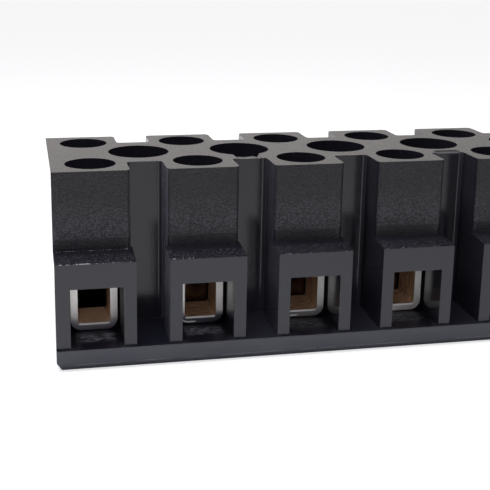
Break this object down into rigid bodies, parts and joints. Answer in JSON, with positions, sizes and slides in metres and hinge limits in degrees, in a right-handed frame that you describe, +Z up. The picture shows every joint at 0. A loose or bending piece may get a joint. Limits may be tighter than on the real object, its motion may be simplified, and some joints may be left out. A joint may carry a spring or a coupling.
{
  "type": "barrier terminal strip",
  "caption": "Black moulded barrier terminal strip with screw towers, fixing holes between them and rising-clamp wire entries along both sides.",
  "frame": {"origin": "middle of the underside of the base flange", "axes": "+X along the strip, -Y towards the front row of wire entries, +Z up from the mounting surface"},
  "size_m": [0.0688, 0.027, 0.0209],
  "materials": {
    "housing": "satin",
    "copper": "satin",
    "yoke_steel": "gloss",
    "screw_steel": "satin"
  },
  "bodies": {
    "housing": {"housing": "housing", "current_bar_1": "copper", "current_bar_2": "copper", "current_bar_3": "copper", "current_bar_4": "copper", "current_bar_5": "copper", "current_bar_6": "copper"},
    "screw_front_1": {"screw_front_1": "screw_steel"},
    "yoke_front_1": {"yoke_front_1": "yoke_steel"},
    "screw_back_1": {"screw_back_1": "screw_steel"},
    "yoke_back_1": {"yoke_back_1": "yoke_steel"},
    "screw_front_2": {"screw_front_2": "screw_steel"},
    "yoke_front_2": {"yoke_front_2": "yoke_steel"},
    "screw_back_2": {"screw_back_2": "screw_steel"},
    "yoke_back_2": {"yoke_back_2": "yoke_steel"},
    "screw_front_3": {"screw_front_3": "screw_steel"},
    "yoke_front_3": {"yoke_front_3": "yoke_steel"},
    "screw_back_3": {"screw_back_3": "screw_steel"},
    "yoke_back_3": {"yoke_back_3": "yoke_steel"},
    "screw_front_4": {"screw_front_4": "screw_steel"},
    "yoke_front_4": {"yoke_front_4": "yoke_steel"},
    "screw_back_4": {"screw_back_4": "screw_steel"},
    "yoke_back_4": {"yoke_back_4": "yoke_steel"},
    "screw_front_5": {"screw_front_5": "screw_steel"},
    "yoke_front_5": {"yoke_front_5": "yoke_steel"},
    "screw_back_5": {"screw_back_5": "screw_steel"},
    "yoke_back_5": {"yoke_back_5": "yoke_steel"},
    "screw_front_6": {"screw_front_6": "screw_steel"},
    "yoke_front_6": {"yoke_front_6": "yoke_steel"},
    "screw_back_6": {"screw_back_6": "screw_steel"},
    "yoke_back_6": {"yoke_back_6": "yoke_steel"}
  },
  "joints": [
    {"name": "screw_front_1_turn", "type": "hinge", "parent": "housing", "child": "screw_front_1", "pos_m": [-0.03, -0.00575, 0.012], "axis": [0, 0, 1], "range_deg": [-2520, 0]},
    {"name": "yoke_front_1_lift", "type": "slide", "parent": "housing", "child": "yoke_front_1", "axis": [0, 0, 1], "range_m": [0, 0.0042]},
    {"name": "screw_back_1_turn", "type": "hinge", "parent": "housing", "child": "screw_back_1", "pos_m": [-0.03, 0.00575, 0.012], "axis": [0, 0, 1], "range_deg": [-2520, 0]},
    {"name": "yoke_back_1_lift", "type": "slide", "parent": "housing", "child": "yoke_back_1", "axis": [0, 0, 1], "range_m": [0, 0.0042]},
    {"name": "screw_front_2_turn", "type": "hinge", "parent": "housing", "child": "screw_front_2", "pos_m": [-0.018, -0.00575, 0.012], "axis": [0, 0, 1], "range_deg": [-2520, 0]},
    {"name": "yoke_front_2_lift", "type": "slide", "parent": "housing", "child": "yoke_front_2", "axis": [0, 0, 1], "range_m": [0, 0.0042]},
    {"name": "screw_back_2_turn", "type": "hinge", "parent": "housing", "child": "screw_back_2", "pos_m": [-0.018, 0.00575, 0.012], "axis": [0, 0, 1], "range_deg": [-2520, 0]},
    {"name": "yoke_back_2_lift", "type": "slide", "parent": "housing", "child": "yoke_back_2", "axis": [0, 0, 1], "range_m": [0, 0.0042]},
    {"name": "screw_front_3_turn", "type": "hinge", "parent": "housing", "child": "screw_front_3", "pos_m": [-0.006, -0.00575, 0.012], "axis": [0, 0, 1], "range_deg": [-2520, 0]},
    {"name": "yoke_front_3_lift", "type": "slide", "parent": "housing", "child": "yoke_front_3", "axis": [0, 0, 1], "range_m": [0, 0.0042]},
    {"name": "screw_back_3_turn", "type": "hinge", "parent": "housing", "child": "screw_back_3", "pos_m": [-0.006, 0.00575, 0.012], "axis": [0, 0, 1], "range_deg": [-2520, 0]},
    {"name": "yoke_back_3_lift", "type": "slide", "parent": "housing", "child": "yoke_back_3", "axis": [0, 0, 1], "range_m": [0, 0.0042]},
    {"name": "screw_front_4_turn", "type": "hinge", "parent": "housing", "child": "screw_front_4", "pos_m": [0.006, -0.00575, 0.012], "axis": [0, 0, 1], "range_deg": [-2520, 0]},
    {"name": "yoke_front_4_lift", "type": "slide", "parent": "housing", "child": "yoke_front_4", "axis": [0, 0, 1], "range_m": [0, 0.0042]},
    {"name": "screw_back_4_turn", "type": "hinge", "parent": "housing", "child": "screw_back_4", "pos_m": [0.006, 0.00575, 0.012], "axis": [0, 0, 1], "range_deg": [-2520, 0]},
    {"name": "yoke_back_4_lift", "type": "slide", "parent": "housing", "child": "yoke_back_4", "axis": [0, 0, 1], "range_m": [0, 0.0042]},
    {"name": "screw_front_5_turn", "type": "hinge", "parent": "housing", "child": "screw_front_5", "pos_m": [0.018, -0.00575, 0.012], "axis": [0, 0, 1], "range_deg": [-2520, 0]},
    {"name": "yoke_front_5_lift", "type": "slide", "parent": "housing", "child": "yoke_front_5", "axis": [0, 0, 1], "range_m": [0, 0.0042]},
    {"name": "screw_back_5_turn", "type": "hinge", "parent": "housing", "child": "screw_back_5", "pos_m": [0.018, 0.00575, 0.012], "axis": [0, 0, 1], "range_deg": [-2520, 0]},
    {"name": "yoke_back_5_lift", "type": "slide", "parent": "housing", "child": "yoke_back_5", "axis": [0, 0, 1], "range_m": [0, 0.0042]},
    {"name": "screw_front_6_turn", "type": "hinge", "parent": "housing", "child": "screw_front_6", "pos_m": [0.03, -0.00575, 0.012], "axis": [0, 0, 1], "range_deg": [-2520, 0]},
    {"name": "yoke_front_6_lift", "type": "slide", "parent": "housing", "child": "yoke_front_6", "axis": [0, 0, 1], "range_m": [0, 0.0042]},
    {"name": "screw_back_6_turn", "type": "hinge", "parent": "housing", "child": "screw_back_6", "pos_m": [0.03, 0.00575, 0.012], "axis": [0, 0, 1], "range_deg": [-2520, 0]},
    {"name": "yoke_back_6_lift", "type": "slide", "parent": "housing", "child": "yoke_back_6", "axis": [0, 0, 1], "range_m": [0, 0.0042]}
  ],
  "couplings": [
    {"joint": "screw_front_1_turn", "follows": "yoke_front_1_lift", "rad_per_m": -10472},
    {"joint": "screw_back_1_turn", "follows": "yoke_back_1_lift", "rad_per_m": -10472},
    {"joint": "screw_front_2_turn", "follows": "yoke_front_2_lift", "rad_per_m": -10472},
    {"joint": "screw_back_2_turn", "follows": "yoke_back_2_lift", "rad_per_m": -10472},
    {"joint": "screw_front_3_turn", "follows": "yoke_front_3_lift", "rad_per_m": -10472},
    {"joint": "screw_back_3_turn", "follows": "yoke_back_3_lift", "rad_per_m": -10472},
    {"joint": "screw_front_4_turn", "follows": "yoke_front_4_lift", "rad_per_m": -10472},
    {"joint": "screw_back_4_turn", "follows": "yoke_back_4_lift", "rad_per_m": -10472},
    {"joint": "screw_front_5_turn", "follows": "yoke_front_5_lift", "rad_per_m": -10472},
    {"joint": "screw_back_5_turn", "follows": "yoke_back_5_lift", "rad_per_m": -10472},
    {"joint": "screw_front_6_turn", "follows": "yoke_front_6_lift", "rad_per_m": -10472},
    {"joint": "screw_back_6_turn", "follows": "yoke_back_6_lift", "rad_per_m": -10472}
  ]
}
